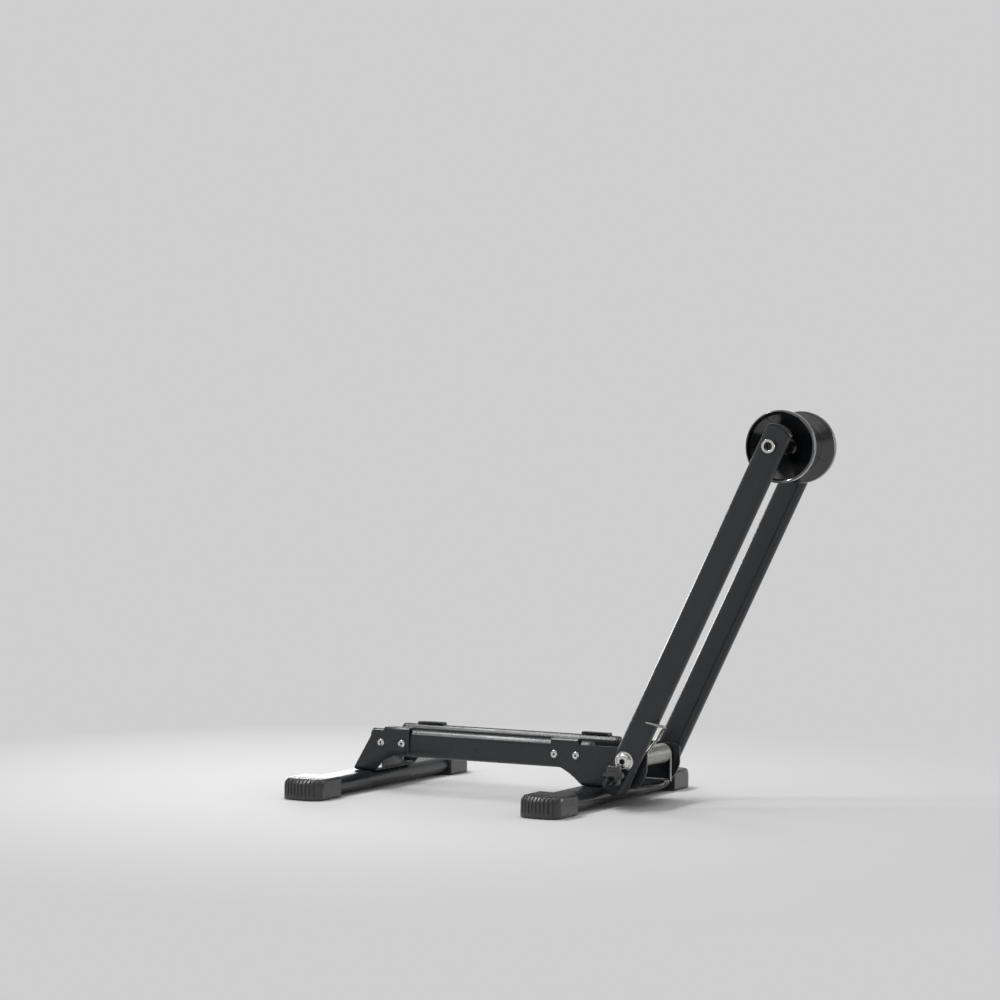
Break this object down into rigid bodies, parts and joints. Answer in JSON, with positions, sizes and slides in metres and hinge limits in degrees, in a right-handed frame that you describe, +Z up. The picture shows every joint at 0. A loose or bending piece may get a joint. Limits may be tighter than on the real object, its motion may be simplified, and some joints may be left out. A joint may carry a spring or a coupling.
{
  "type": "folding floor bike rack",
  "caption": "Low black floor stand that holds a bicycle by one wheel: two flat tubes on rubber-capped feet, and a sprung pair of tilting arms carrying V rollers.",
  "frame": {"origin": "on the floor, under the middle of the bounding box", "axes": "+X along the base towards the tilted arms and their rollers, +Y across to the far arm, away from the lock knob, +Z up"},
  "size_m": [0.5429, 0.3782, 0.4277],
  "materials": {
    "powder_coat": "satin black powder coat",
    "cap_rubber": "dull charcoal rubber",
    "gloss_black": "semi-gloss black moulded plastic",
    "nylon": "matt black nylon",
    "zinc": "bright zinc plate",
    "nickel": "bright nickel plate",
    "bronze": "sintered bronze"
  },
  "bodies": {
    "base": {"front_foot_tube": "powder_coat", "rear_foot_tube": "powder_coat", "front_bracket": "powder_coat", "rear_bracket": "powder_coat", "base_tube_near": "powder_coat", "base_tube_far": "powder_coat", "foot_cap_front_near": "cap_rubber", "foot_cap_front_far": "cap_rubber", "foot_cap_rear_near": "cap_rubber", "foot_cap_rear_far": "cap_rubber", "base_plug_near_front": "nylon", "base_plug_far_front": "nylon", "base_plug_near_rear": "nylon", "base_plug_far_rear": "nylon", "foot_bolt_front_near": "zinc", "foot_bolt_front_far": "zinc", "foot_bolt_rear_near": "zinc", "foot_bolt_rear_far": "zinc", "foot_insert_front_near": "zinc", "foot_insert_front_far": "zinc", "foot_insert_rear_near": "zinc", "foot_insert_rear_far": "zinc", "pivot_sleeve": "zinc", "torsion_spring": "zinc", "rivet_front_near_1": "nickel", "rivet_front_near_2": "nickel", "rivet_front_far_1": "nickel", "rivet_front_far_2": "nickel", "rivet_rear_near_1": "nickel", "rivet_rear_near_2": "nickel", "rivet_rear_far_1": "nickel", "rivet_rear_far_2": "nickel", "pivot_bolt": "nickel", "pivot_nut": "nickel"},
    "arms": {"arm_near": "powder_coat", "arm_far": "powder_coat", "arm_plug_top_near": "nylon", "arm_plug_top_far": "nylon", "arm_plug_bottom_near": "nylon", "arm_plug_bottom_far": "nylon", "arm_bush_near": "nylon", "arm_bush_far": "nylon", "roller_axle": "zinc", "axle_screw_near": "nickel", "axle_screw_far": "nickel", "axle_spacer_near": "nylon", "axle_spacer_far": "nylon", "lock_nut": "zinc"},
    "roller_near": {"roller_near": "gloss_black", "roller_bush_near": "bronze"},
    "roller_far": {"roller_far": "gloss_black", "roller_bush_far": "bronze"},
    "lock_knob": {"lock_knob": "gloss_black", "lock_stud": "zinc"}
  },
  "joints": [
    {"name": "arms_tilt", "type": "hinge", "parent": "base", "child": "arms", "pos_m": [0.07735, 0, 0.0523], "axis": [0, 1, 0], "range_deg": [-114.8, 12], "stiffness_Nm_per_rad": 0.9, "springref_deg": -48.7, "deforming": ["torsion_spring"]},
    {"name": "roller_near_spin", "type": "hinge", "parent": "arms", "child": "roller_near", "pos_m": [0.23305, 0, 0.38927], "axis": [0, 1, 0], "continuous": true},
    {"name": "roller_far_spin", "type": "hinge", "parent": "arms", "child": "roller_far", "pos_m": [0.23305, 0, 0.38927], "axis": [0, 1, 0], "continuous": true},
    {"name": "lock_knob_turn", "type": "hinge", "parent": "arms", "child": "lock_knob", "pos_m": [0.07072, -0.075, 0.03796], "axis": [0, -1, 0], "range_deg": [0, 720]}
  ]
}
